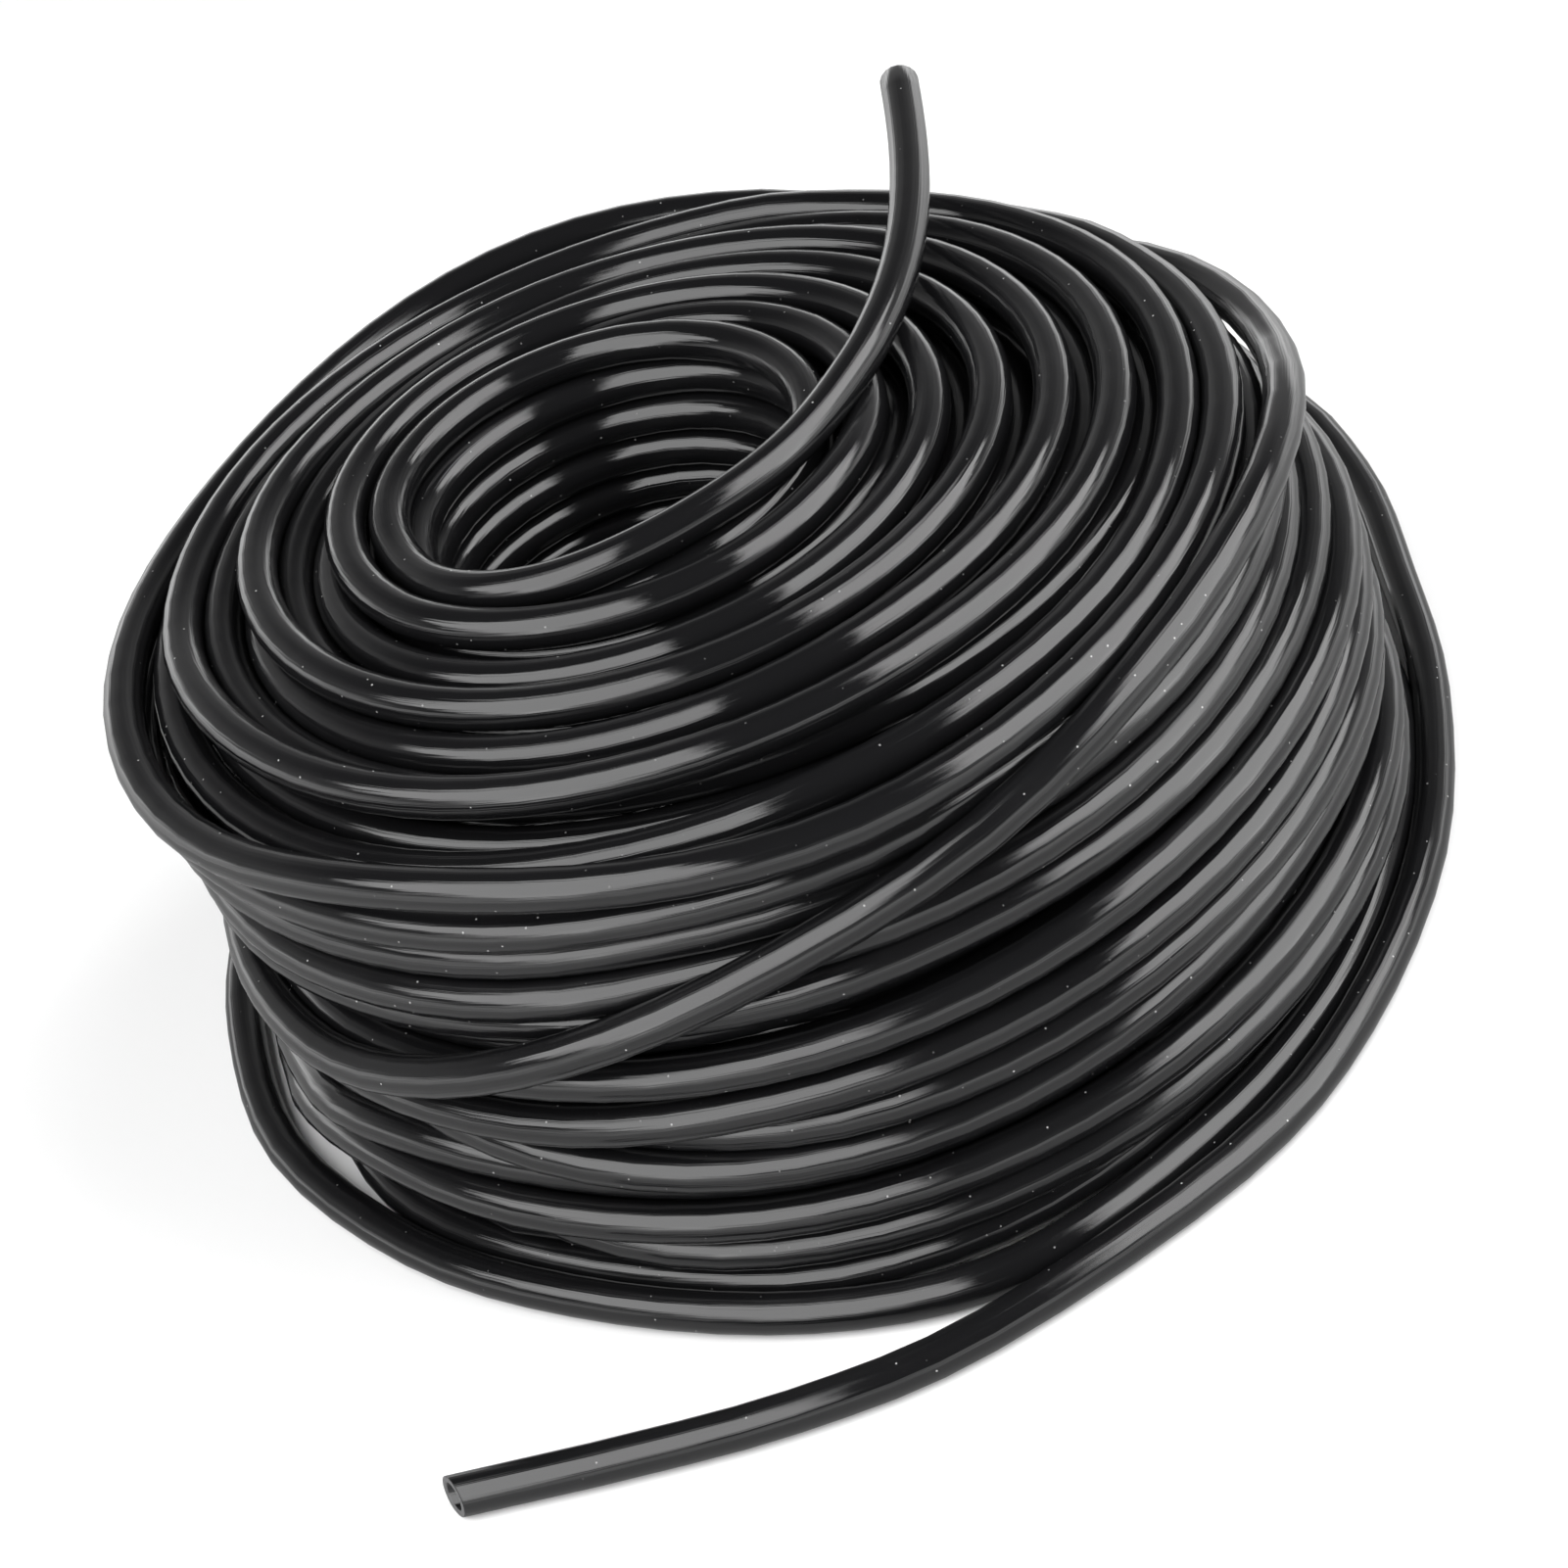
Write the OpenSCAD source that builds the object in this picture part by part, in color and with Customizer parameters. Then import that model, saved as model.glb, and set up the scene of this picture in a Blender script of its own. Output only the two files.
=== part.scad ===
// Quarter-inch watering hose in one length, cross-wound into a drum-shaped coil with an open centre.
// Millimetres, +Z up. The origin is where the coil's axis meets the floor. The outer cut end lies in
// front (-Y), and the hose runs clockwise, seen from above, from its inner end to its outer one.

/* [Hose] */
// Outside diameter of the hose
hose_od = 6.35; // [4:0.05:13]
// Bore of the hose
hose_id = 4.3; // [2.5:0.05:10]
// Straight stretch behind each cut end, open to its full depth
mouth_length = 18; // [10:1:40]

/* [Coil] */
// Radius of the turns at the rim, to the middle of the hose
coil_radius = 84.8; // [60:0.1:140]
// Radius of the turns round the open centre, to the middle of the hose
core_radius = 31.5; // [18:0.1:50]
// How far the open centre sits left (-) or right (+) of the coil's axis
core_x = -8; // [-15:0.5:15]
// How far the open centre sits in front (-) or behind (+) the coil's axis
core_y = 4; // [-15:0.5:15]
// Rows of turns from the floor to the rim
side_rows = 13; // [7:1:18]
// Space left between one row and the next
row_gap = 0.15; // [0.05:0.05:1]
// Strands that show across the top, from the open centre to the rim
top_strands = 8; // [4:1:8]
// How much higher the top is at the open centre than at the rim
crown = 9; // [0:0.5:20]
// How far the topmost outside turn stands out past the other turns at the rim
rim_overhang = 1.8; // [0:0.1:3]

/* [Hidden] */
row_pitch = hose_od + row_gap;
floor_z = hose_od / 2;
rim_z = floor_z + (side_rows - 1) * row_pitch;
top_z = rim_z + crown;
// the inner run's first turn lies on the wall of the open centre
wall_z = top_z - 0.6 * hose_od;
bore_rows = floor((wall_z - floor_z) / row_pitch);
bore_pitch = (wall_z - floor_z) / bore_rows;
last_strand = top_strands - 1;

// The outside is fullest low down and towards the right. Each band of rows has [right, behind, out],
// in hose diameters: where its middle sits, and how far it stands out from the rim.
belly_band = [0.9, 0, 0.95];
waist_band = [1.2, -0.3, 0.6];
neck_band = [0.25, 0, 0.3];
foot_out = -0.45 * hose_od;
belly_rows = floor(side_rows / 3);
waist_rows = floor(side_rows * 2 / 3);

tube_sides = 12;
mouth_sides = 48;
overcut = 1;
// points on a route's smooth curve from one station to the next
curve_steps = 2;
// straight tube just behind each mouth
lead = hose_od / 2;

// Where the hose goes outside the coil. Each station is [angle, out, up]. Out is counted in hose
// diameters from the rim's turns, and up in rows from the floor.

// Wrap: from under the rim, once round the outside and down to the floor
wrap_stations = [
    [50, 0.4, 10.2], [25, 1.45, 10.3], [0, 1.3, 11.05], [-25, 1.3, 12.1], [-50, 1.25, 11.9],
    [-75, 1.2, 10.6], [-100, 1.25, 9.25], [-120, 1.3, 7.9], [-138, 1.05, 6.8], [-155, 0.55, 6.3],
    [-175, 0.05, 6], [-200, 0.05, 5.8], [-225, 0.55, 5.5], [-250, 1.35, 4.9], [-275, 2, 4],
    [-300, 2.5, 2.7], [-325, 2.7, 1.3], [-345, 2.65, 0.35], [-360, 2.25, 0], [-375, 1.7, 0]
];
// Base loop: on the floor, from the foot of the wrap across the front to the left
base_stations = [
    [-386, 1.4, 0], [-397, 1.35, 0], [-408, 1.4, 0], [-421, 1.55, 0], [-438, 2, 0], [-451, 2.05, 0],
    [-467, 1.35, 0], [-487, 0.75, 0], [-507, 0.85, 0], [-530, 1.5, 0], [-550, 2.1, 0], [-566, 2.9, 0]
];
// Tail: on the floor, from the left round the back and the right to the front
tail_stations = [
    [-584, 4.2, 0], [-601, 5.4, 0], [-625, 7.1, 0], [-645, 8.9, 0], [-663, 9.85, 0], [-679, 9.1, 0],
    [-692, 6.85, 0], [-706, 4.5, 0], [-723, 3.1, 0], [-745, 2.4, 0], [-767, 2.45, 0],
    [-785, 2.8, 0], [-809, 3.65, 0], [-824, 4.5, 0]
];
outer_cut_station = [-847, 6.9, 0];
outer_heading = 170;

// Inner end: out of the innermost turn, over the top of the coil and past its back rim. Its stations
// go round the open centre: out is counted in hose diameters from the turns round that centre, and
// up in hose diameters from the height of its own first turn.
inner_stations = [
    [180, 0.35, 0], [205, 0.4, 0.05], [222, 0.4, 0.2], [234, 0.3, 0.3], [247, 0.15, 0.4],
    [259, 0.05, 0.5], [276, -0.1, 0.6], [290, -0.1, 0.65], [303, 0.05, 0.7], [315.5, 0.3, 0.75],
    [330, 0.6, 0.75], [346, 1.2, 0.8], [359.5, 2.1, 0.9], [374.5, 3.45, 1], [389.5, 5.65, 1.15]
];
inner_cut_station = [405.2, 9.75, 1.5];
inner_heading = 81;
inner_rise = 4;

outer_route = [for (s = [each wrap_stations, each base_stations, each tail_stations]) by_coil(s)];
wrap_count = len(wrap_stations);
base_count = wrap_count + len(base_stations);
outer_cut = by_coil(outer_cut_station);
outer_way = heading(outer_heading, 0);
outer_foot = outer_cut - mouth_length * outer_way;
outer_path = [each smooth([each outer_route, outer_foot - lead * outer_way]), outer_foot];
wrap_end = (wrap_count - 1) * curve_steps;
base_end = (base_count - 1) * curve_steps;

inner_cut = by_centre(inner_cut_station);
inner_way = heading(inner_heading, inner_rise);
inner_foot = inner_cut - mouth_length * inner_way;
inner_path = [for (s = inner_stations) by_centre(s), inner_foot - lead * inner_way, inner_foot];

function heading(angle, rise) = [cos(angle) * cos(rise), sin(angle) * cos(rise), sin(rise)];
function unit(v) = v / norm(v);
function part_of(list, first, last) = [for (i = [first : last]) list[i]];

// Place of a station outside the coil
function by_coil(s) =
    (coil_radius + hose_od * s[1]) * heading(s[0], 0) + [0, 0, floor_z + row_pitch * s[2]];

// Place of a station round the open centre
function by_centre(s) =
    [core_x, core_y, top_z + hose_od * s[2]] + (core_radius + hose_od * s[1]) * heading(s[0], 0);

// A point on the smooth curve through b and c, with a before b and d after c
function curve_point(a, b, c, d, t) =
    0.5 * (2 * b + (c - a) * t + (2 * a - 5 * b + 4 * c - d) * t ^ 2
        + (3 * b - a - 3 * c + d) * t ^ 3);

// Smooth curve through a route
function smooth(route) =
    let (spans = len(route) - 1)
    [
        for (i = [0 : spans - 1], s = [0 : curve_steps - 1])
            curve_point(
                route[max(i - 1, 0)], route[i], route[i + 1], route[min(i + 2, spans)],
                s / curve_steps
            ),
        route[spans]
    ];

// Strand k of the top or the base: its centre slides from the open centre to the coil's axis
function strand_share(k) = k / last_strand;
function strand_x(k) = core_x * (1 - strand_share(k));
function strand_y(k) = core_y * (1 - strand_share(k));
function strand_radius(k) = core_radius + (coil_radius - core_radius) * strand_share(k);
function strand_z(k) = rim_z + crown * (1 - strand_share(k) ^ 2);

// One turn of hose lying level
module turn(radius) {
    rotate_extrude($fn = 72)
        translate([radius, 0])
            circle(d = hose_od, $fn = 24);
}

// Tube swept along a path, each ring square to the path and upright
module swept_tube(path) {
    count = len(path);
    rings = [
        for (i = [0 : count - 1])
            let (
                along = unit(path[min(i + 1, count - 1)] - path[max(i - 1, 0)]),
                side = unit(cross(along, [0, 0, 1])),
                up = cross(side, along)
            )
            for (s = [0 : tube_sides - 1])
                path[i] + hose_od / 2
                    * (cos(360 * s / tube_sides) * side + sin(360 * s / tube_sides) * up)
    ];
    walls = [
        for (i = [0 : count - 2], s = [0 : tube_sides - 1])
            let (near = i * tube_sides, far = near + tube_sides, next = (s + 1) % tube_sides)
            [near + s, far + s, far + next, near + next]
    ];
    first_cap = [for (s = [0 : tube_sides - 1]) s];
    last_cap = [for (s = [tube_sides - 1 : -1 : 0]) (count - 1) * tube_sides + s];
    polyhedron(points = rings, faces = [first_cap, each walls, last_cap]);
}

// Cut end of the hose, standing at the origin with its mouth up
module mouth() {
    difference() {
        cylinder(d = hose_od, h = mouth_length, $fn = mouth_sides);
        translate([0, 0, -overcut])
            cylinder(d = hose_id, h = mouth_length + 2 * overcut, $fn = mouth_sides);
    }
}

// A band of rows of turns up the outside, filled to the middle
module row_band(first, last, band) {
    radius = coil_radius + hose_od * band[2];
    translate([hose_od * band[0], hose_od * band[1], 0])
        rotate_extrude($fn = 72)
            union() {
                translate([0, floor_z + (first - 0.5) * row_pitch])
                    square([radius, (last - first + 1) * row_pitch]);
                for (row = [first : last])
                    translate([radius, floor_z + row * row_pitch])
                        circle(d = hose_od, $fn = 24);
            }
}

// Open centre, with the rows of turns that show on its wall left standing
module open_centre() {
    rotate_extrude($fn = 72)
        difference() {
            translate([0, -overcut])
                square([core_radius, top_z + hose_od + 2 * overcut]);
            for (row = [1 : bore_rows - 1])
                translate([core_radius, floor_z + row * bore_pitch])
                    circle(d = hose_od, $fn = 24);
        }
}

module wound_coil() {
    color("#1b1c1e")
        union() {
            difference() {
                union() {
                    row_band(1, belly_rows, belly_band);
                    row_band(belly_rows + 1, waist_rows, waist_band);
                    row_band(waist_rows + 1, side_rows - 2, neck_band);
                    // filling behind the lowest turn and behind the rim
                    for (z = [floor_z, rim_z - row_pitch])
                        translate([0, 0, z])
                            cylinder(r = coil_radius, h = row_pitch, $fn = 72);
                    // steps under the crowned top
                    for (k = [0 : last_strand - 1])
                        translate([strand_x(k), strand_y(k), floor_z])
                            cylinder(r = strand_radius(k), h = strand_z(k) - floor_z, $fn = 72);
                    // strands across the top, outside the open centre
                    for (k = [1 : last_strand])
                        translate([strand_x(k), strand_y(k), strand_z(k)])
                            turn(strand_radius(k) + (k == last_strand ? rim_overhang : 0));
                    // strands across the base
                    for (k = [1 : last_strand - 2])
                        translate([strand_x(k), strand_y(k), floor_z])
                            turn(strand_radius(k));
                    translate([0, 0, floor_z])
                        turn(coil_radius + foot_out);
                }
                translate([core_x, core_y, 0])
                    open_centre();
            }
            // strands round the two mouths of the open centre
            for (z = [floor_z, wall_z])
                translate([core_x, core_y, z])
                    turn(core_radius);
        }
}

module inner_run() {
    color("#222326")
        swept_tube(inner_path);
}

module inner_mouth() {
    color("#2c2d30")
        translate(inner_foot)
            rotate([0, 90 - inner_rise, inner_heading])
                mouth();
}

module outer_wrap() {
    color("#222326")
        swept_tube(part_of(outer_path, 0, wrap_end));
}

module base_loop() {
    color("#222326")
        swept_tube(part_of(outer_path, wrap_end, base_end));
}

module outer_tail() {
    color("#222326")
        swept_tube(part_of(outer_path, base_end, len(outer_path) - 1));
}

module outer_mouth() {
    color("#2c2d30")
        translate(outer_foot)
            rotate([0, 90, outer_heading])
                mouth();
}

wound_coil();
inner_run();
inner_mouth();
outer_wrap();
base_loop();
outer_tail();
outer_mouth();
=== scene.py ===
from math import cos, pi, radians, sin

import bpy
import numpy as np
from mathutils import Matrix, Vector


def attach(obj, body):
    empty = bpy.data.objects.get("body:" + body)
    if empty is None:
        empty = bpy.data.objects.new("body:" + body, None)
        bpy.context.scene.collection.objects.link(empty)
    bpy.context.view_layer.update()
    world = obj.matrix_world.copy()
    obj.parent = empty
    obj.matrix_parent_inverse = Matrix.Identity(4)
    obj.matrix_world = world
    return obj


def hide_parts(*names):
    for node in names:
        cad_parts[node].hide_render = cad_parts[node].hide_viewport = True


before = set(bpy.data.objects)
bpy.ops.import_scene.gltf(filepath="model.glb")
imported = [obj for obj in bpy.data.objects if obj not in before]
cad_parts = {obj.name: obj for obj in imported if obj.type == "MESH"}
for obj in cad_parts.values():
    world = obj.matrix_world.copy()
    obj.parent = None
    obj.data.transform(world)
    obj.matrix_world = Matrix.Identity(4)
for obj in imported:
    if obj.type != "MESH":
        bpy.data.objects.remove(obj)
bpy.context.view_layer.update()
bpy.ops.object.select_all(action="DESELECT")
print("frame loaded:", len(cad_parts), "nodes")


# Camera

cameraSetup = {
    "distance": 0.635,
    "elevation": 36.0,
    "roll": 20.0,
    "target": (0.0012, 0.0, 0.026),
    "focalPixels": 4075.0,
    "framePixels": 1601.0,
    "sensor": 36.0,
    "clip": (0.01, 50.0),
}


def addCamera(c):
    up, lean = radians(c["elevation"]), radians(c["roll"])
    right = Vector((1, 0, 0))
    back = Vector((0, -cos(up), sin(up)))
    top = Vector((0, sin(up), cos(up)))
    across = right * cos(lean) - top * sin(lean)
    above = top * cos(lean) + right * sin(lean)
    data = bpy.data.cameras.new("camera")
    data.sensor_width = c["sensor"]
    data.lens = c["focalPixels"] / c["framePixels"] * c["sensor"]
    data.clip_start, data.clip_end = c["clip"]
    camera = bpy.data.objects.new("camera", data)
    bpy.context.collection.objects.link(camera)
    turn = Matrix((across, above, back)).transposed().to_4x4()
    camera.matrix_world = Matrix.Translation(Vector(c["target"]) + back * c["distance"]) @ turn
    bpy.context.scene.camera = camera


addCamera(cameraSetup)
print("camera placed")


# The hose: one length, from the inner cut end to the outer one. All angles round the coil are in degrees,
# 0 on the right and -90 in front, and the hose goes round it clockwise as seen from above

hose = {
    "outside": 0.00635,
    "bore": 0.0043,
    "boreDepth": 0.008,      # how far in the bore is open
    "mouthDepth": 0.018,     # straight stretch at each cut end
    "lead": 0.003175,        # and a little more behind it
    "slant": (0.54, 0.25),   # how obliquely the outer end is cut: towards the front, and back at the bottom
    "slantFaces": (0.12, -0.71, 0.69),
    "lip": 0.00025,          # rounding of the cut edges
    "sides": 18,
    "steps": 4,              # rings from one station to the next
    "smoothUnder": 60,       # edges sharper than this many degrees stay sharp
}

coil = {
    "radius": 0.0848,        # of the rim, to the hose's middle
    "coreRadius": 0.0315,    # of the open centre, which lies off the coil's axis
    "coreX": -0.008,
    "coreY": 0.004,
    "rowPitch": 0.0065,
    "sideRows": 13,
    "crown": 0.009,          # how much higher the top is at the open centre than at the rim
    "bellyRadius": 0.09075,  # the rows below the shoulder stand out further, most of all on the right
    "bellyX": 0.00575,
    "neckRadius": 0.0865,
    "neckX": 0.0015,
    "shoulder": (0.055, 0.063),
}

# How the turns are laid, before they are pressed together. Blends are shares of a turn
winding = {
    "seed": 4,
    "start": 180,            # angle where the first turn starts
    "planes": 72,            # places in one turn where the strands are packed
    "level": 0.012,          # at the floor and under the top the turns run level, over this height
    "levelTop": 0.004,
    "rise": (0.0008, 0.0014),  # how far a turn strays up and down: the innermost, and what the outermost adds
    "riseStep": 0.23,
    "stray": 0.0008,         # and how far in and out
    "strayStep": 0.3,
    "nest": 0.45,            # how far the turns under the top ones shift outwards, into the gaps between them
    "nestDepth": 0.0122,
    "nestAt": 20,
    "lean": 0.003,           # how far the outermost top turns lean out onto the rim strand
    "leanDepth": 0.012,
    "leanAt": 195,
    "firstBlend": 0.8,
    "rowBlend": 0.4,
    "rowSmoothing": (1, 2, 3, 3, 3, 2, 1),
    "rimBlend": 0.15,
    "rimSmoothing": (1, 1, 1, 1, 1),
}

width = hose["outside"]
floorHeight = width / 2
rimHeight = floorHeight + (coil["sideRows"] - 1) * coil["rowPitch"]
topHeight = rimHeight + coil["crown"]
core = np.array([coil["coreX"], coil["coreY"]])
spread = coil["radius"] - coil["coreRadius"]

# Outside the coil: angle, hose widths out from the rim's turns, rows up from the floor
wrapStations = [
    (50, 0.4, 10.2), (25, 1.45, 10.3), (0, 1.3, 11.05), (-25, 1.3, 12.1), (-50, 1.25, 11.9),
    (-75, 1.2, 10.6), (-100, 1.25, 9.25), (-120, 1.3, 7.9), (-138, 1.05, 6.8), (-155, 0.55, 6.3),
    (-175, 0.05, 6), (-200, 0.05, 5.8), (-225, 0.55, 5.5), (-250, 1.35, 4.9), (-275, 2, 4),
    (-300, 2.5, 2.7), (-325, 2.7, 1.3), (-345, 2.65, 0.35), (-360, 2.25, 0), (-375, 1.7, 0),
]
baseStations = [
    (-386, 1.4, 0), (-397, 1.35, 0), (-408, 1.4, 0), (-421, 1.55, 0), (-438, 2, 0), (-451, 2.05, 0),
    (-467, 1.35, 0), (-487, 0.75, 0), (-507, 0.85, 0), (-530, 1.5, 0), (-550, 2.1, 0), (-566, 2.9, 0),
]
tailStations = [
    (-584, 4.2, 0), (-601, 5.4, 0), (-625, 7.1, 0), (-645, 8.9, 0), (-663, 9.85, 0), (-679, 9.1, 0),
    (-692, 6.85, 0), (-706, 4.5, 0), (-723, 3.1, 0), (-745, 2.4, 0), (-767, 2.45, 0),
    (-785, 2.8, 0), (-809, 3.65, 0), (-824, 4.5, 0),
]
outerCut = {"station": (-847, 6.9, 0), "heading": 170, "rise": 0}

# Round the open centre: angle, hose widths out from its turns, hose widths up from its own first turn
innerStations = [
    (180, 0.35, 0), (205, 0.4, 0.05), (222, 0.4, 0.2), (234, 0.3, 0.3), (247, 0.15, 0.4),
    (259, 0.05, 0.5), (276, -0.1, 0.6), (290, -0.1, 0.65), (303, 0.05, 0.7), (315.5, 0.3, 0.75),
    (330, 0.6, 0.75), (346, 1.2, 0.8), (359.5, 2.1, 0.9), (374.5, 3.45, 1), (389.5, 5.65, 1.15),
]
innerCut = {"station": (405.2, 9.75, 1.5), "heading": 81, "rise": 4}

# The rows of turns that show on the outside, from the floor up. Each is a list of places, one for every
# angle: height in millimetres, and how many millimetres it lies inside the fullest rows.
rowAngles = (0, -20, -40, -60, -85, -105, -125, -145, -160, -175, -200, -260, -310)
rowStations = [
    [(7.5, 5), (7.8, 6.2), (7.8, 6.2), (6.5, 4.5), (5, -0.3), (4.3, 0), (3.2, 1), (3.2, 1.5), (3.2, 2),
     (3.2, 3), (3.2, 5), (5, 4), (9, 3)],
    [(14.5, 0), (15.3, 0), (15.5, 0), (12.5, 0), (11, 0), (11.5, 0), (14.3, 1), (19, 6.5), (17, 7),
     (13, 6), (9, 4), (11, 0), (16, 0)],
    [(21, 0), (21.5, 0), (21.7, 0), (19, 0), (16.8, 0), (17, 0), (18.2, 0), (20, 0), (18, 0),
     (9, -1.5), (4, -2), (15, 0), (20, 1)],
    [(24, 5), (24.5, 5), (25, 5), (23.5, 5), (21.3, 5), (22.5, 4), (25, 4), (27, 1.5), (23, 1),
     (14, 1), (12, 1.5), (21, 3), (25, 2)],
    [(29, 1), (30, 1), (32, 2), (30, 0.5), (25.7, 0), (27.5, 0), (31.3, 1), (34, 5.5), (30, 6),
     (24, 4), (20, 2), (26, 0), (31, 0)],
    [(36, 0), (36.6, 0), (37.3, 0), (35.5, 0), (33, 0), (33.4, 1), (34.3, 6.5), (29, 9), (25, 8),
     (20, 9), (26, 2), (32, 1), (38, 0)],
    [(45, 0), (46, 0), (44.3, 0), (41.6, 0), (39.5, 0), (38.7, 0), (37, 0), (37, 0.5), (35, 1),
     (33, 1), (35, 3), (40, 0), (44, 2)],
    [(49, 8.5), (49.5, 8.5), (47.5, 8.5), (45, 7.5), (43, 6.5), (43, 5.5), (42, 5), (41, 5), (40, 6),
     (39, 7), (40, 7), (44, 5), (48, 4)],
    [(52, 0), (53.3, 0.7), (52.3, 0), (49.8, 0), (46.9, 0), (46.5, 0), (46.5, 0.5), (46, 2.5), (45.5, 4.5),
     (45, 6), (45, 6), (48, 0), (53, 3)],
    [(55, 9), (55, 9.5), (54, 9), (53.3, 8), (52.3, 6.5), (51.5, 5), (50.5, 5), (50, 5), (49.5, 5.5),
     (49, 6), (49, 6), (52, 4), (55, 2)],
    [(58, 2), (58, 2.2), (57.4, 2.2), (57.4, 2), (57.3, 2), (57, 2), (56.5, 1.5), (54.8, 2), (54, 3),
     (53, 3.5), (53, 3), (55, 2), (58.5, 0)],
    [(63, -1), (63, -1), (63, -2), (63, -2), (63, -2), (62.8, -2), (62.3, -2), (61.5, 0), (60, 0.3),
     (59, 0.5), (58, 0), (61, 0), (63, 1)],
    [(68, 0), (69.5, 0), (69.5, 0), (68, 0), (68, 0), (68, 0), (67.3, 0), (65, 0), (63.3, 0),
     (63, -1), (64.5, -1), (67, -0.5), (71, 7)],
    [(73.5, 1.8), (75, 0.5), (75.2, 0), (74, 0), (73.3, -1), (73.5, -1), (74, -1), (73.5, -0.7), (72, -1.5),
     (71, -3), (71.5, -3), (73, -1.5), (79, 5)],
]

# The rim strand, just before the wrap: angle, radius and height in millimetres
rimStations = [
    (50, 82.5, 79), (25, 83.5, 80.5), (0, 83.8, 81.5), (-30, 84.3, 82), (-55, 86.5, 81), (-83, 89.5, 80),
    (-95, 90, 81), (-107, 90, 83), (-124, 89, 84.5), (-132, 88.5, 84), (-146, 88.7, 81),
    (-158, 89.5, 79), (-167, 90, 80), (-183, 88.5, 81), (-202, 88, 79), (-216, 88, 78.5),
    (-230, 88, 80), (-242, 88, 82.5), (-255, 88, 84.5), (-268, 88, 85), (-282, 88, 82.5),
    (-296, 88, 78), (-310, 87.4, 71),
]

# The layers of the coil, from the open centre outwards: turns, tilt in millimetres, where it is highest
layers = [
    (14, 1.5, 20), (14, -2.0, 80), (14, 2.0, 140), (14, -2.5, 200),
    (14, 2.5, 260), (14, -2.0, 310), (12, 2.5, 30), (len(rowStations) + 1 + 130 / 360, 0, 0),
]
lastLayer = len(layers) - 1


def heading(angle, rise=0):
    a, r = radians(angle), radians(rise)
    return np.array([cos(a) * cos(r), sin(a) * cos(r), sin(r)])


def besideCoil(station):
    angle, out, up = station
    return (coil["radius"] + width * out) * heading(angle) + [0, 0, floorHeight + coil["rowPitch"] * up]


def besideCentre(station):
    angle, out, up = station
    return (coil["coreRadius"] + width * out) * heading(angle) + [*core, topHeight + width * up]


def ease(t):
    t = np.clip(t, 0, 1)
    return t * t * (3 - 2 * t)


# The smooth curve through four values, between the middle two
def curveBetween(a, b, c, e, t):
    return 0.5 * (2 * b + (c - a) * t + (2 * a - 5 * b + 4 * c - e) * t ** 2
                  + (3 * b - a - 3 * c + e) * t ** 3)


def curveThrough(route, steps):
    route = np.asarray(route)
    last = len(route) - 1
    t = (np.arange(steps) / steps)[:, None]
    parts = [curveBetween(route[max(i - 1, 0)], route[i], route[i + 1], route[min(i + 2, last)], t)
             for i in range(last)]
    return np.vstack([*parts, route[-1:]])


# Chance values that change smoothly, with a new one every so many steps
def wander(draw, count, step):
    knots = draw.normal(size=int(count / step) + 4)
    x = np.arange(count) / step + 1
    i = x.astype(int)
    return curveBetween(*(knots[np.minimum(i + k, len(knots) - 1)] for k in (-1, 0, 1, 2)), x - i)


def smoothed(values, weights):
    padded = np.pad(values, len(weights) // 2, mode="edge")
    return np.convolve(padded, np.array(weights) / sum(weights), "valid")


# A strand in the coil has a share, 0 at the open centre and 1 at the outer rows, an angle and a height.
# The centre of its circle slides from the open centre to the coil's axis.
def strandPlace(share, angle):
    a, radius = np.radians(angle), coil["coreRadius"] + spread * share
    x, y = core[0] * (1 - share) + radius * np.cos(a), core[1] * (1 - share) + radius * np.sin(a)
    return np.stack([x, y], -1)


def strandShare(x, y):
    q = np.stack([x, y], -1) - core
    square = core @ core - spread ** 2
    half = q @ core - coil["coreRadius"] * spread
    rest = (q * q).sum(-1) - coil["coreRadius"] ** 2
    share = (-half - np.sqrt(half ** 2 - square * rest)) / square
    middle = q + core * share[..., None]
    return share, np.degrees(np.arctan2(middle[..., 1], middle[..., 0]))


# Share of a strand that lies inset behind the outer rows, which bulge below the shoulder
def outerShare(angle, high, inset=0):
    low, top = coil["shoulder"]
    neck = ease((high - low) / (top - low))
    middle = coil["bellyX"] + (coil["neckX"] - coil["bellyX"]) * neck
    radius = coil["bellyRadius"] + (coil["neckRadius"] - coil["bellyRadius"]) * neck - inset
    a = np.radians(angle)
    out = np.stack([np.cos(a), np.sin(a)], -1)
    start = core + coil["coreRadius"] * out - np.stack([middle, 0 * middle], -1)
    slope = spread * out - core
    square, half = (slope * slope).sum(-1), (start * slope).sum(-1)
    return (np.sqrt(half ** 2 - square * ((start * start).sum(-1) - radius ** 2)) - half) / square


# The outermost layer follows the rows
def followRows(share, high, angle):
    rows = np.array([(at - 360 * k, *place) for k, row in enumerate(rowStations)
                     for at, place in zip(rowAngles, row)])
    along = angle - angle[0] + winding["start"]
    rowHigh, rowInset = (smoothed(np.interp(-along, -rows[:, 0], rows[:, column]) / 1000,
                                  winding["rowSmoothing"]) for column in (1, 2))
    blend = ease(np.arange(len(along)) / (winding["planes"] * winding["rowBlend"]))
    high += (rowHigh - high) * blend
    share += (outerShare(angle, rowHigh, rowInset) - share) * blend


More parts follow.
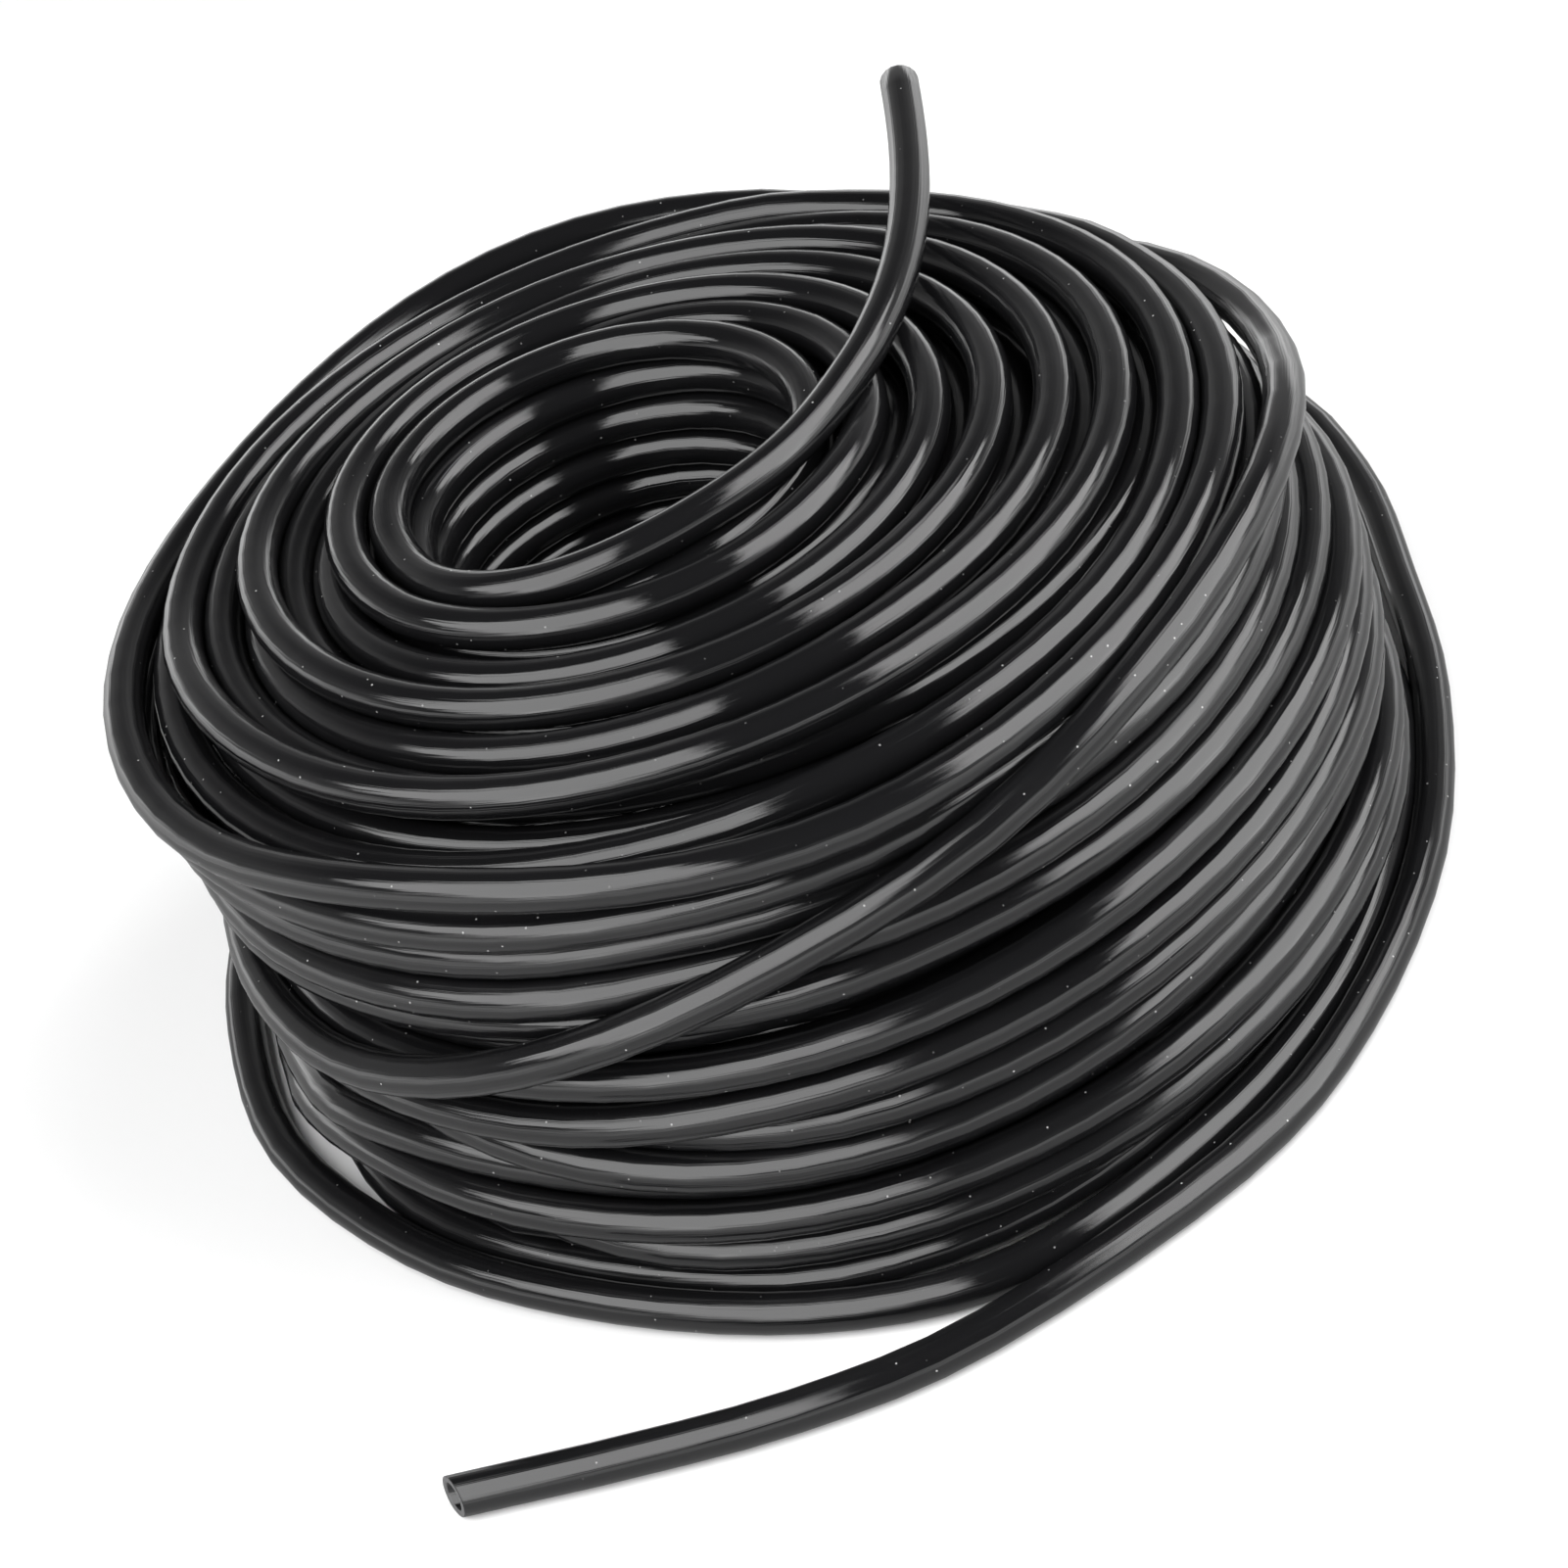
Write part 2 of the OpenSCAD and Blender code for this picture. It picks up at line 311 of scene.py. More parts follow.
# The last turn is the rim strand
def followRim(share, high, angle):
    planes = winding["planes"]
    rim = np.array(rimStations)
    along = angle - angle[-1] + rimStations[-1][0] + 360 / planes
    rimOut, rimHigh = (smoothed(np.interp(-along, -rim[:, 0], rim[:, column]), winding["rimSmoothing"]) / 1000
                       for column in (1, 2))
    a = np.radians(along)
    rimShare, _ = strandShare(rimOut * np.cos(a), rimOut * np.sin(a))
    blend = np.clip(np.arange(planes) / (planes * winding["rimBlend"]), 0, 1)
    share += (rimShare - share) * blend
    high += (rimHigh - high) * blend


# The layers as they are wound, before they press on each other
def windLayers(draw):
    w, planes = winding, winding["planes"]
    share, high, layer = [], [], []
    for k, (turns, *_) in enumerate(layers):
        t = np.arange(int(round(turns * planes))) / planes
        top = rimHeight + coil["crown"] * (1 - (k / lastLayer) ** 2)
        down = np.clip((t - 0.5) / (turns - 1), 0, 1)
        if k % 2:
            down = 1 - down
        # half a turn at either end crosses from one layer to the next
        fromLast = 1 - ease(t + 0.5) if k else 0 * t
        toNext = ease(t - turns + 0.5) if k < lastLayer else 0 * t
        share.append((k - fromLast + toNext) / lastLayer)
        high.append(top + (floorHeight - top) * down)
        layer.append(np.full(len(t), k))
    share, high, layer = np.concatenate(share), np.concatenate(high), np.concatenate(layer)
    count = len(share)
    angle = w["start"] - 360 * np.arange(count) / planes
    outer = layer / lastLayer
    settled = np.clip(np.minimum(high - floorHeight, topHeight - w["levelTop"] - high) / w["level"], 0, 1)
    _, tilts, tiltsAt = np.array(layers)[layer].T
    high = high + settled * (tilts / 1000) * np.sin(np.radians(angle - tiltsAt))
    low, more = w["rise"]
    high = high + settled * (low + more * outer ** 2) * wander(draw, count, planes * w["riseStep"])
    stray = w["stray"] / spread * wander(draw, count, planes * w["strayStep"])
    share = share * outerShare(angle, high) + stray
    # under the top, strands sink between the ones above, and the outermost leans on the rim strand
    depth = rimHeight + coil["crown"] * (1 - outer ** 2) - high
    sunk = np.sin(np.pi * np.clip(depth / w["nestDepth"], 0, 1)) ** 2
    facing = np.cos(np.radians(angle - w["nestAt"])).clip(0, 1)
    share += (layer < lastLayer) * w["nest"] / lastLayer * sunk * facing
    leaning = np.cos(np.radians(angle - w["leanAt"])).clip(0, 1) ** 2 * (depth < w["leanDepth"])
    share += w["lean"] / spread * ((layer == lastLayer - 1) * leaning)
    # the first turn starts where the inner run ends
    first = ease(1 - np.arange(planes) / (planes * w["firstBlend"]))
    share[:planes] += innerStations[0][1] * width / spread * first
    rows, rim = slice(int(np.argmax(layer == lastLayer)), None), slice(-planes, None)
    followRows(share[rows], high[rows], angle[rows])
    followRim(share[rim], high[rim], angle[rim])
    return share, high, angle, layer


# A fixed strand, read off where it crosses the same planes
def crossings(route, angles):
    share, angle = strandShare(route[:, 0], route[:, 1])
    angle = np.unwrap(angle, period=360)
    angle += 360 * round((angles[0] - angle[0]) / 360)
    order = np.argsort(angle)
    return np.interp(angles, angle[order], share[order]), np.interp(angles, angle[order], route[order, 2])


# How the turns are pressed together
packing = {
    "rounds": 320,
    "search": 10,            # rounds from one search for neighbours to the next
    "margin": 0.002,         # how far apart two strands may be to count as neighbours
    "passes": 3,             # times that neighbours are pressed apart in one round
    "crowding": 0.6,         # how much gentler that is with every further neighbour
    "smoothing": (0.5, 0.6),  # along the strands in each round, and how much less of it at the end
    "stiffness": 0.085,      # tight turns are smoothed over more of their angle
    "settling": 0.00003,     # how far everything sinks and draws in, in the first round
    "finish": [(60, 1.0, 0.35), (12, 0.8, 0.2)],  # last passes, how firm, and the smoothing after them
    "hold": 0.03,            # how firmly a strand keeps to where it was laid
    "holdRows": 0.15,
    "holdRim": 0.25,
    "holdFirst": 0.2,
    "rowsGive": 0.25,        # how readily the outer rows give way, next to those inside
    "steps": 24,             # for reading off the fixed strands
}


# Presses the strands apart in every plane until they lie beside and on each other
def packCoil():
    p, start, planes, fine = packing, winding["start"], winding["planes"], packing["steps"]
    share, high, angle, layer = windLayers(np.random.default_rng(winding["seed"]))
    count = len(share)
    inner = curveThrough([besideCentre(s) for s in [*innerStations, innerCut["station"]]], fine)
    wrap = curveThrough([besideCoil(s) for s in [*wrapStations, *baseStations, tailStations[0]]], fine)
    ahead = int((innerCut["station"][0] - start) / 360 * planes) - 2
    innerAngles = start + 360 * np.arange(1, ahead + 1) / planes
    wrapStart = angle[-1] - 360 / planes
    beyond = int((wrapStart % 360 - baseStations[-1][0]) / 360 * planes)
    wrapAngles = wrapStart - 360 * np.arange(beyond) / planes
    innerShare, innerHigh = crossings(inner, innerAngles)
    wrapShare, wrapHigh = crossings(wrap, wrapAngles)
    wantShare = np.concatenate([innerShare[::-1], share, wrapShare])
    wantHigh = np.concatenate([innerHigh[::-1], high, wrapHigh])
    total = len(wantShare)
    step = np.arange(total) - ahead
    wound, outermost = slice(ahead, ahead + count), layer == lastLayer
    free = np.zeros(total)
    free[wound] = np.where(outermost, p["rowsGive"], 1)
    plane = step % planes
    facing = np.radians(start - 360 * np.arange(planes) / planes)
    scale = np.hypot(spread * np.cos(facing) - core[0], spread * np.sin(facing) - core[1])
    scales = scale[plane]
    hold = np.full(total, p["hold"])
    hold[wound][outermost] = p["holdRows"]
    hold[wound][-planes:] = p["holdRim"]
    hold[wound][:planes // 3] = p["holdFirst"]
    turnRadius = coil["coreRadius"] + spread * wantShare
    reach = np.clip(np.round(p["stiffness"] / turnRadius), 1, 3).astype(int)
    # one line of the table for every plane, with the strands that cross it
    members = [np.nonzero(plane == j)[0] for j in range(planes)]
    most = max(len(m) for m in members)
    table = np.full((planes, most), -1)
    for j, m in enumerate(members):
        table[j, :len(m)] = m
    present = table >= 0
    upper = np.triu(np.ones((most, most), bool), 1)[None]
    out, up = wantShare.copy(), wantHigh.copy()

    # empty places in the table count as far off
    def neighbours():
        x = np.where(present, out[table] * scale[:, None], 1000 + np.arange(most)[None])
        z = np.where(present, up[table], 0)
        near = ((x[:, :, None] - x[:, None, :]) ** 2 + (z[:, :, None] - z[:, None, :]) ** 2
                < (width + p["margin"]) ** 2) & upper
        j, first, second = np.nonzero(near)
        return table[j, first], table[j, second]

    def pressApart(first, second, strength=1.0):
        x, z = (out[first] - out[second]) * scales[first], up[first] - up[second]
        apart = np.sqrt(x * x + z * z) + 1e-9
        both = free[first] + free[second]
        hit = (apart < width) & (both > 0)
        a, b, x, z, apart, both = (v[hit] for v in (first, second, x, z, apart, both))
        push = (width - apart) * strength / both / apart
        contacts = np.bincount(a, minlength=total) + np.bincount(b, minlength=total)
        relax = 1 / np.maximum(1, contacts * p["crowding"])

        def moved(way):
            ofFirst = np.bincount(a, free[a] * push * way, total)
            ofSecond = np.bincount(b, free[b] * push * way, total)
            return (ofFirst - ofSecond) * relax

        out[:] += moved(x) / scales
        up[:] += moved(z)
        up[:] = np.where(free > 0, np.maximum(up, floorHeight), up)
        out[:] = np.where(free > 0, np.maximum(out, 0), out)

    def smoothAlong(amount):
        for m in (1, 2, 3):
            i = np.nonzero((reach == m) & (free > 0))[0]
            i = i[(i >= m) & (i < total - m)]
            for v in (out, up):
                v[i] += amount * (0.5 * (v[i - m] + v[i + m]) - v[i])

    smoothing, less = p["smoothing"]
    for turn in range(p["rounds"]):
        if turn % p["search"] == 0:
            first, second = neighbours()
        late = turn / p["rounds"]
        pull = p["settling"] * (1 - late)
        out += (free > 0) * (hold * (wantShare - out) - pull / scales * (wantShare > 0.5))
        up += (free > 0) * (hold * (wantHigh - up) - pull)
        smoothAlong(smoothing * (1 - less * late))
        for _ in range(p["passes"]):
            pressApart(first, second)
    first, second = neighbours()
    for passes, strength, amount in p["finish"]:
        for _ in range(passes):
            pressApart(first, second, strength)
        smoothAlong(amount)
    up = np.maximum(up, floorHeight)
    places = np.column_stack([strandPlace(out, start - 360 * step / planes), up])
    return places[wound], layer


# Rings lie close together where the hose shows, and further apart inside the coil
thinning = {
    "deep": 0.011,           # how far below the top the turns still show
    "low": 0.002,            # how far above the floor they are kept a little closer
    "lastTurns": 1.3,        # turns before the wrap that keep all their rings
    "sharp": 0.6,            # and so does a bend tighter than this share of the turn's radius
    "sharpRings": 5,
}


def thinHidden(places, layer):
    n = np.arange(len(places))
    top = rimHeight + coil["crown"] * (1 - (layer / lastLayer) ** 2)
    rimTurns = n > len(n) - thinning["lastTurns"] * winding["planes"]
    shows = (layer == lastLayer) | (places[:, 2] > top - thinning["deep"]) | rimTurns
    centre = (layer == 0) | (places[:, 2] < floorHeight + thinning["low"])
    keep = np.where(shows, True, np.where(centre, n % 2 == 0, n % 3 == 0))
    keep[[0, -1]] = True
    return keep


# How tightly the hose may bend, as radii
bends = {
    "tightest": 0.026,
    "evenness": 0.55,        # in the coil, no tighter than this share of the turn's own radius
    "innerEnd": 0.07,        # in the inner end, which is one even bend
    "innerLength": 0.07,
    "innerRings": 15,
    "rounds": 120,
    "give": 0.4,             # how much of a tight bend one round takes out
    "spread": (0.5, 0.8, 1, 0.8, 0.5),  # over the rings beside it
    "wrapRings": 20,         # rings of the wrap that are eased like the coil
    "outerRings": 12,        # rings at the outer end that stay where they are
}


def lengthsAlong(points):
    return np.concatenate([[0], np.cumsum(np.linalg.norm(np.diff(points, axis=0), axis=1))])


# Radius of the bend at every ring but the first and last, and where it lies between the two beside it
def bendRadius(points):
    back, on = points[1:-1] - points[:-2], points[2:] - points[1:-1]
    backLength, onLength = np.linalg.norm(back, axis=1), np.linalg.norm(on, axis=1)
    cosine = np.clip((back * on).sum(1) / backLength / onLength, -1, 1)
    both = backLength + onLength
    return both / 2 / np.maximum(np.arccos(cosine), 1e-6), backLength / both


# Rounds off whatever bends more tightly than the hose can
def easeBends(points, wound):
    b, points = bends, points.copy()
    tightest = np.full(len(points) - 2, b["tightest"])
    turnRadius = np.hypot(points[wound, 0], points[wound, 1])
    tightest[wound] = np.maximum(b["tightest"], b["evenness"] * turnRadius)
    tightest[lengthsAlong(points)[1:-1] < b["innerLength"]] = b["innerEnd"]
    for _ in range(b["rounds"]):
        radius, share = bendRadius(points)
        tight = (radius < tightest).astype(float)
        tight[0] = tight[-b["outerRings"]:] = 0
        if not tight.any():
            break
        spreadOut = np.convolve(tight, b["spread"], "same").clip(0, 1)[:, None]
        between = points[:-2] + (points[2:] - points[:-2]) * share[:, None]
        points[1:-1] += b["give"] * spreadOut * (between - points[1:-1])
        points[:, 2] = np.maximum(points[:, 2], floorHeight)
    return points


# The inner run from its tip, where it ends in one even bend
def innerEnd(inner, tip, way):
    run = inner[::-1][1:]
    away = np.linalg.norm(run - tip, axis=1)
    joins = int(np.argmax(away > bends["innerLength"]))
    reach = away[joins]
    joining = run[joins] - run[joins + 1]
    joining *= reach / np.linalg.norm(joining)
    t = np.linspace(1, 0, bends["innerRings"])[:, None]
    bend = ((2 * t ** 3 - 3 * t ** 2 + 1) * run[joins] + (t ** 3 - 2 * t ** 2 + t) * joining
            + (3 * t ** 2 - 2 * t ** 3) * tip + (t ** 3 - t ** 2) * reach * way)
    return np.vstack([bend[:-1], run[joins:-1]])


def hoseRoute():
    places, layer = packCoil()
    print("turns in the coil:", round(len(places) / winding["planes"], 1))
    innerWay = heading(innerCut["heading"], innerCut["rise"])
    outerWay = heading(outerCut["heading"], outerCut["rise"])
    innerTip, outerTip = besideCentre(innerCut["station"]), besideCoil(outerCut["station"])
    lead, mouth = hose["lead"], hose["mouthDepth"]
    innerFoot, outerFoot = innerTip - mouth * innerWay, outerTip - mouth * outerWay
    inside = [besideCentre(s) for s in innerStations]
    outside = [besideCoil(s) for s in [*wrapStations, *baseStations, *tailStations]]
    inner = curveThrough(inside + [innerFoot - lead * innerWay], hose["steps"])
    outer = curveThrough(outside + [outerFoot - lead * outerWay], hose["steps"])
    start = innerEnd(inner, innerTip, innerWay)
    first, last = len(start), len(start) + len(places)
    bending = easeBends(np.vstack([start, places, outer, outerFoot]), slice(first, last + bends["wrapRings"]))
    keep = np.ones(len(bending), bool)
    keep[first:last] = thinHidden(places, layer)
    sharp = bendRadius(bending)[0] < thinning["sharp"] * np.hypot(bending[1:-1, 0], bending[1:-1, 1])
    keep[1:-1] |= np.convolve(sharp, np.ones(thinning["sharpRings"]), "same") > 0
    return np.vstack([bending[keep], outerTip])


route = hoseRoute()


# Rings square to the route, carried along it without twist
def ringFrames(route):
    along = np.zeros_like(route)
    along[1:-1] = route[2:] - route[:-2]
    along[0], along[-1] = route[1] - route[0], route[-1] - route[-2]
    along /= np.linalg.norm(along, axis=1)[:, None]
    side = np.zeros_like(route)
    side[0] = np.cross(along[0], (0, 0, 1))
    for i in range(1, len(route)):
        side[i] = side[i - 1] - along[i] * (side[i - 1] @ along[i])
        side[i] /= np.linalg.norm(side[i])
    side[0] /= np.linalg.norm(side[0])
    return along, side, np.cross(side, along)


def buildHose(name):
    sides, outside, bore, lip = hose["sides"], width / 2, hose["bore"] / 2, hose["lip"]
    along, side, over = ringFrames(route)
    travelled = lengthsAlong(route)
    a = 2 * pi * np.arange(sides) / sides
    # a cut end: into the bore, round the lip, and out to the wall
    corner = lip * 0.3  # how far the middle of the rounded edge stands back
    profile = [(-hose["boreDepth"], bore), (-lip, bore), (-corner, bore + corner), (0, bore + lip),
               (0, outside - lip), (-corner, outside - corner), (-lip, outside)]
    # the outer end is cut off obliquely, facing the front
    front = np.cross(along[-1], np.cross(hose["slantFaces"], along[-1]))
    front /= np.linalg.norm(front)
    top = np.cross(front, along[-1])
    top *= np.sign(top[2])
    slantFront, slantBelow = hose["slant"]
    rings, lengths = [], []

    def addRing(i, shift, radius, slant=0):
        offset = radius * (np.cos(a)[:, None] * side[i] + np.sin(a)[:, None] * over[i])
        shifts = shift + slant * (offset @ front * -slantFront + offset @ top * slantBelow)
        rings.append(route[i] + offset + shifts[:, None] * along[i])
        lengths.append(travelled[i] + shift)

    for shift, radius in profile:
        addRing(0, -shift, radius)
    for i in range(1, len(route) - 1):
        addRing(i, 0, outside)
    for shift, radius in reversed(profile):
        addRing(len(route) - 1, shift, radius, slant=1)
    faces = [list(range(sides))[::-1]]
    for r in range(len(rings) - 1):
        for s in range(sides):
            n = (s + 1) % sides
            faces.append([r * sides + s, r * sides + n, (r + 1) * sides + n, (r + 1) * sides + s])
    faces.append([(len(rings) - 1) * sides + s for s in range(sides)])
    mesh = bpy.data.meshes.new(name)
    mesh.from_pydata(np.vstack(rings).tolist(), [], faces)
    # the hose pulled straight: one map goes round it, the other along it
    vertex = np.zeros(len(mesh.loops), int)
    mesh.loops.foreach_get("vertex_index", vertex)
    ring, spoke = np.divmod(vertex, sides)
    goesRound, goesAlong = mesh.uv_layers.new(name="roundHose"), mesh.uv_layers.new(name="alongHose")
    goesRound.data.foreach_set("uv", np.column_stack([np.cos(a[spoke]), np.sin(a[spoke])]).ravel())
    goesAlong.data.foreach_set("uv", np.column_stack([np.array(lengths)[ring], 0 * ring]).ravel())
    # the second material is for the cut faces, from the edge of the bore to the edge of the wall
    edge, wall = 1 + sides, 1 + (len(profile) - 2) * sides
    cut = np.zeros(len(mesh.polygons), int)
    cut[edge:wall] = cut[-wall:-edge] = 1
    mesh.polygons.foreach_set("material_index", cut)
    piece = bpy.data.objects.new(name, mesh)
    bpy.context.collection.objects.link(piece)
    piece.select_set(True)
    bpy.context.view_layer.objects.active = piece
    bpy.ops.object.mode_set(mode="EDIT")
    bpy.ops.mesh.select_all(action="SELECT")
    bpy.ops.mesh.normals_make_consistent(inside=False)
    bpy.ops.object.mode_set(mode="OBJECT")
    bpy.ops.object.shade_smooth_by_angle(angle=radians(hose["smoothUnder"]))
    piece.select_set(False)
    return piece


hosePiece = buildHose("hose")
print("hose modelled:", len(hosePiece.data.polygons), "faces")


# Finish of the hose. A range of four is where the noise under it starts and ends to count, and what it
# then gives

vinyl = {
    "colour": (0.0055, 0.0055, 0.0059, 1),
    "ior": 1.52,
    "rubbed": 28,                    # rubbed patches per metre
    "gloss": (0.35, 0.75, 0.065, 0.12),  # roughness, cleanest and most rubbed
    "drawLines": (8.0, 6.0),         # lines from the die: round the hose, and per metre along it
    "drawDepth": 0.00005,
    "waviness": 90,
    "waveDepth": 0.00006,
    "scratches": (90.0, 260.0),
    "scratchScale": 0.12,
    "scratchGloss": (0.62, 0.75, 0, 0.12),
    "dust": 450,                     # specks per metre
    "dustSize": 0.085,
    "dustKept": (0.55, 0.57, 0, 1),  # which of them are there
    "dustRubbed": (0.42, 0.6, 0.15, 1),
    "dustColour": (0.34, 0.34, 0.335, 1),
    "bloom": (0.52, 0.78, 0, 0.5),   # grey haze on the rubbed patches
    "bloomColour": (0.012, 0.012, 0.0125, 1),
}
# pale grey of the cut faces: partly their own colour, partly a painted highlight of the rounded rim
cutFace = {"colour": (0.15, 0.15, 0.153, 1), "roughness": 0.45, "sawMarks": 2600, "markDepth": 0.00006}


def newMaterial(name):
    material = bpy.data.materials.new(name)
    material.use_nodes = True
    tree = material.node_tree
    return material, tree, tree.nodes["Principled BSDF"]


def node(tree, kind, **settings):
    made = tree.nodes.new(kind)
    for key, value in settings.items():
        setattr(made, key, value)
    return made


# A value from one range into another
def remap(tree, value, low, high, toLow, toHigh):
    ramp = node(tree, "ShaderNodeMapRange", interpolation_type="SMOOTHSTEP")
    tree.links.new(value, ramp.inputs["Value"])
    for name, number in zip(("From Min", "From Max", "To Min", "To Max"), (low, high, toLow, toHigh)):
        ramp.inputs[name].default_value = number
    return ramp.outputs["Result"]


def noise(tree, vector, scale, detail=2.0, roughness=0.5):
    made = node(tree, "ShaderNodeTexNoise")
    tree.links.new(vector, made.inputs["Vector"])
    made.inputs["Scale"].default_value = scale
    made.inputs["Detail"].default_value = detail
    made.inputs["Roughness"].default_value = roughness
    return made.outputs["Fac"]


# Coordinates on the straight hose, stretched so many times round and along
def straightHose(tree, timesRound, timesAlong):
    around = node(tree, "ShaderNodeUVMap", uv_map="roundHose")
    length = node(tree, "ShaderNodeUVMap", uv_map="alongHose")
    apart, metres = node(tree, "ShaderNodeSeparateXYZ"), node(tree, "ShaderNodeSeparateXYZ")
    joined, scaled = node(tree, "ShaderNodeCombineXYZ"), node(tree, "ShaderNodeMapping")
    tree.links.new(around.outputs["UV"], apart.inputs[0])
    tree.links.new(length.outputs["UV"], metres.inputs[0])
    tree.links.new(apart.outputs["X"], joined.inputs["X"])
    tree.links.new(apart.outputs["Y"], joined.inputs["Y"])
    tree.links.new(metres.outputs["X"], joined.inputs["Z"])
    tree.links.new(joined.outputs["Vector"], scaled.inputs["Vector"])
    scaled.inputs["Scale"].default_value = (timesRound, timesRound, timesAlong)
    return scaled.outputs["Vector"]


def mixColour(tree, factor, first, second):
    mix = node(tree, "ShaderNodeMix", data_type="RGBA")
    tree.links.new(factor, mix.inputs["Factor"])
    for socket, colour in ((mix.inputs[6], first), (mix.inputs[7], second)):
        if isinstance(colour, tuple):
            socket.default_value = colour
        else:
            tree.links.new(colour, socket)
    return mix.outputs[2]


def bump(tree, height, depth, below=None):
    made = node(tree, "ShaderNodeBump")
    made.inputs["Distance"].default_value = depth
    tree.links.new(height, made.inputs["Height"])
    if below:
        tree.links.new(below, made.inputs["Normal"])
    return made.outputs["Normal"]


def combine(tree, operation, first, second):
    made = node(tree, "ShaderNodeMath", operation=operation)
    tree.links.new(first, made.inputs[0])
    tree.links.new(second, made.inputs[1])
    return made.outputs[0]


def hoseVinyl():
    v = vinyl
    material, tree, shader = newMaterial("hoseVinyl")
    place = node(tree, "ShaderNodeTexCoord").outputs["Object"]
    rubbed = noise(tree, place, v["rubbed"], 3)
    lines = noise(tree, straightHose(tree, *v["drawLines"]), 1, 3, 0.6)
    waves = noise(tree, place, v["waviness"], 1)
    scratches = noise(tree, straightHose(tree, *v["scratches"]), v["scratchScale"], 2, 0.7)
    # dust: small specks, more of them where the surface is rubbed
    specks = node(tree, "ShaderNodeTexVoronoi")
    tree.links.new(place, specks.inputs["Vector"])
    specks.inputs["Scale"].default_value = v["dust"]
    near = remap(tree, specks.outputs["Distance"], v["dustSize"] * 0.5, v["dustSize"], 1, 0)
    cell = node(tree, "ShaderNodeSeparateColor")
    tree.links.new(specks.outputs["Color"], cell.inputs[0])
    there = combine(tree, "MULTIPLY", near, remap(tree, cell.outputs[0], *v["dustKept"]))
    dusty = combine(tree, "MULTIPLY", there, remap(tree, rubbed, *v["dustRubbed"]))
    bloom = combine(tree, "MULTIPLY", remap(tree, rubbed, *v["bloom"]), scratches)
    colour = mixColour(tree, bloom, v["colour"], v["bloomColour"])
    tree.links.new(mixColour(tree, dusty, colour, v["dustColour"]), shader.inputs["Base Color"])
    scratched = remap(tree, scratches, *v["scratchGloss"])
    rough = combine(tree, "ADD", remap(tree, rubbed, *v["gloss"]), scratched)
    tree.links.new(rough, shader.inputs["Roughness"])
    shader.inputs["IOR"].default_value = v["ior"]
    normal = bump(tree, lines, v["drawDepth"], bump(tree, waves, v["waveDepth"]))
    tree.links.new(normal, shader.inputs["Normal"])
    return material


# The cut ends are matte, with the marks of the blade. Their pale grey is partly the fresh cut's own colour
# and partly a painted highlight of the rounded rim
def cutVinyl():
    v = cutFace
    material, tree, shader = newMaterial("cutVinyl")
    place = node(tree, "ShaderNodeTexCoord").outputs["Object"]
    marks = noise(tree, place, v["sawMarks"], 3, 0.6)
    shader.inputs["Roughness"].default_value = v["roughness"]
    shader.inputs["IOR"].default_value = vinyl["ior"]
    # the paler colour carries a painted highlight as well as the cut's own tone
    tree.links.new(mixColour(tree, marks, vinyl["colour"], v["colour"]), shader.inputs["Base Color"])
    tree.links.new(bump(tree, marks, v["markDepth"]), shader.inputs["Normal"])
    return material


hosePiece.data.materials.append(hoseVinyl())
hosePiece.data.materials.append(cutVinyl())
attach(hosePiece, "root")
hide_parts("wound_coil", "inner_run", "inner_mouth", "outer_wrap", "base_loop", "outer_tail",
            "outer_mouth")
print("hose finished")


# Floor, surroundings and lights. Distances are from the coil's axis, in metres

studio = {
    "floorSize": 12.0,
    "floorColour": 0.86,
    "floorRoughness": 0.7,
    "mirroredFloorPaintedShade": 0.36,   # how pale the floor looks in the hose, painted darker than it is as shade near the coil
    "far": (0.22, 0.7),      # over this distance it grows brighter in it, a painted glow of lit floor in the hose's reflection
    "mirroredFloorPaintedGlow": 1.1,
    "sweep": (0.35, 1.2),    # and over this one it turns into the white backdrop
    "backdrop": 1.0,
    "low": 2.0,              # brightness of the room at the horizon, and overhead
    "high": 0.03,
    "horizon": (0.04, 0.26),  # height between the two, as the sine of the angle
    "behind": 0.36,          # brightness of the wall behind the coil
    "behindTurn": (-0.5, 0.35),  # how it fades in towards the back, and out overhead
    "behindHeight": (0.35, 0.75),
    "aim": (0, 0, 0.04),
}


def grey(value):
    return value, value, value, 1


